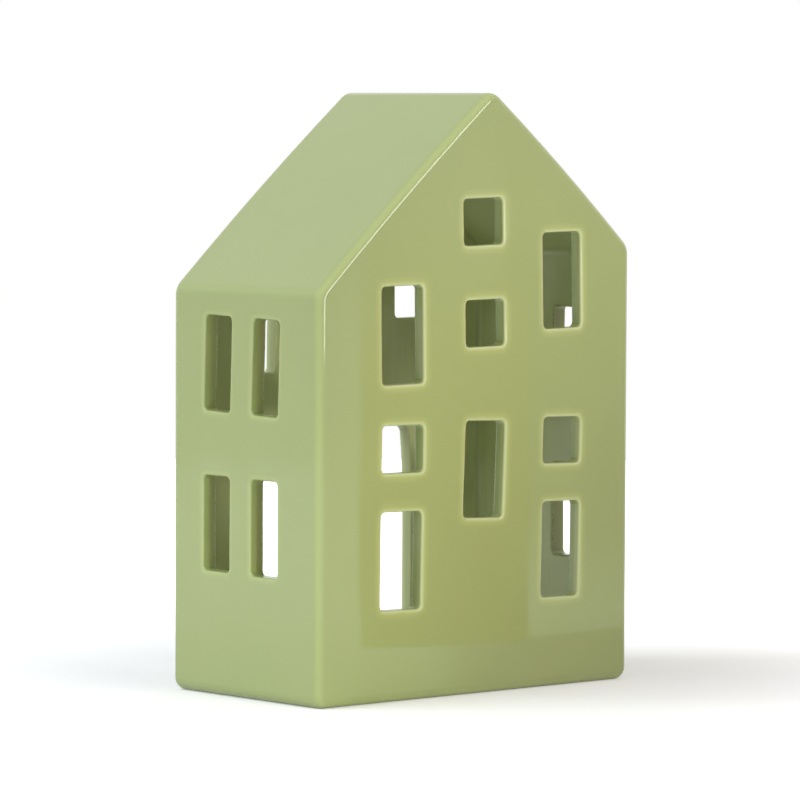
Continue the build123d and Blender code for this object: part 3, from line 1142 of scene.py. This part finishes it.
def add_card(name, corners, colours, softness, strength):
    """A card with soft borders, which only reflections see."""
    start, end, top = (Vector(corner) for corner in corners)
    at_start, at_end, at_top = (Vector(colour) for colour in colours)
    side, foot, head = softness
    bm = bmesh.new()
    cover = bm.verts.layers.float.new("cover")
    light = bm.verts.layers.float_color.new("light")
    rises = [0, foot] if foot else [0]
    rises += [(1 - head) / 2, 1 - head, 1]
    rows = []
    for up in rises:
        top_share = smooth_step((up - TOP_COLOUR_START) / (1 - TOP_COLOUR_START))
        row = []
        for across in (0, side, 0.5, 1 - side, 1):
            vert = bm.verts.new(start + (end - start) * across + (top - start) * up)
            vert[cover] = 0.0 if across in (0, 1) or up == 1 or (up == 0 and foot) else 1.0
            vert[light] = (*at_start.lerp(at_end, across).lerp(at_top, top_share), 1.0)
            row.append(vert)
        rows.append(row)
    for lower, upper in zip(rows, rows[1:]):
        for i in range(len(lower) - 1):
            bm.faces.new((lower[i], lower[i + 1], upper[i + 1], upper[i]))
    mesh = bpy.data.meshes.new(name)
    bm.to_mesh(mesh)
    bm.free()
    card = add_piece(name, mesh, card_material(name, strength))
    card.visible_camera = False
    card.visible_diffuse = False
    card.visible_transmission = False
    card.visible_volume_scatter = False
    card.visible_shadow = False


def set_world():
    """White for the camera and for reflections, and a plain soft level for everything else."""
    world = bpy.data.worlds.new("studio")
    bpy.context.scene.world = world
    world.use_nodes = True
    tree = world.node_tree
    background = tree.nodes["Background"]
    background.inputs["Color"].default_value = (1, 1, 1, 1)
    path = tree.nodes.new("ShaderNodeLightPath")
    seen = tree.nodes.new("ShaderNodeMath")
    seen.operation = "MAXIMUM"
    tree.links.new(path.outputs["Is Camera Ray"], seen.inputs[0])
    shiny = tree.nodes.new("ShaderNodeMath")
    shiny.operation = "MAXIMUM"
    tree.links.new(path.outputs["Is Glossy Ray"], shiny.inputs[0])
    tree.links.new(path.outputs["Is Transmission Ray"], shiny.inputs[1])
    tree.links.new(shiny.outputs["Value"], seen.inputs[1])
    level = tree.nodes.new("ShaderNodeMapRange")
    level.inputs["To Min"].default_value = WORLD_DIFFUSE
    level.inputs["To Max"].default_value = WORLD_GLOSSY
    tree.links.new(seen.outputs["Value"], level.inputs["Value"])
    tree.links.new(level.outputs["Result"], background.inputs["Strength"])


def add_floor():
    """A pale round floor, which keeps the house's shadow and fades to white away from it."""
    bm = bmesh.new()
    bmesh.ops.create_circle(bm, cap_ends=True, segments=FLOOR_SEGMENTS, radius=FLOOR_RADIUS)
    mesh = bpy.data.meshes.new("floor")
    bm.to_mesh(mesh)
    bm.free()
    nodes = Nodes("floor")
    nodes.shader.inputs["Roughness"].default_value = FLOOR_ROUGHNESS
    tone = nodes.mix(nodes.texture(*FLOOR_TEXTURE), linear(FLOOR), linear(FLOOR_GRAIN))
    nodes.join(tone, nodes.shader.inputs["Base Color"])
    path = nodes.add("ShaderNodeLightPath")
    place = nodes.add("ShaderNodeVectorMath", operation="LENGTH")
    nodes.join(nodes.place(), place.inputs[0])
    far = nodes.value(place.outputs["Value"], *FLOOR_FADE)
    lift = nodes.maths("ADD", nodes.maths("MULTIPLY", far, FLOOR_FAR_LIGHT), FLOOR_NEAR_LIGHT)
    mirrored = nodes.maths("MULTIPLY", path.outputs["Is Glossy Ray"], FLOOR_IN_GLOSS)
    lift = nodes.maths("MULTIPLY", lift, nodes.maths("MAXIMUM", path.outputs["Is Camera Ray"], mirrored))
    nodes.shader.inputs["Emission Color"].default_value = (1, 1, 1, 1)
    nodes.join(lift, nodes.shader.inputs["Emission Strength"])
    floor = add_piece("floor", mesh, nodes.material)


def remove_default_objects():
    """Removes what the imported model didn't bring."""
    own = set(frame["nodes"].values()) | set(frame["bodies"].values())
    for item in list(bpy.data.objects):
        if item not in own:
            bpy.data.objects.remove(item)


def finish_piece(piece, body, node):
    """Attaches a piece to the body that it moves with, and hides the node that it replaces."""
    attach(piece, body)
    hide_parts(node)


remove_default_objects()
bpy.context.scene.view_settings.view_transform = "Standard"
finish_piece(make_glazed_house(), "house", "house_shell")
finish_piece(make_foil_cup(), "tealight", "tealight_cup")
finish_piece(make_wax_fill(), "tealight", "tealight_wax")
finish_piece(make_braided_wick(), "tealight", "tealight_wick")
sustainer = frame["nodes"]["wick_sustainer"]
sustainer.data.materials.clear()
sustainer.data.materials.append(tinned_steel_material())
set_world()
add_floor()
add_area_light("key", KEY_PLACE, KEY_AIM, KEY_SIZE, KEY_WATTS, KEY_COLOUR)
add_area_light("fill", FILL_PLACE, KEY_AIM, FILL_SIZE, FILL_WATTS, FILL_COLOUR)
for glow_name, glow in GLOWS.items():
    add_glow(glow_name, *glow)
for card_name, card in CARDS.items():
    add_card(card_name, *card)
add_camera()
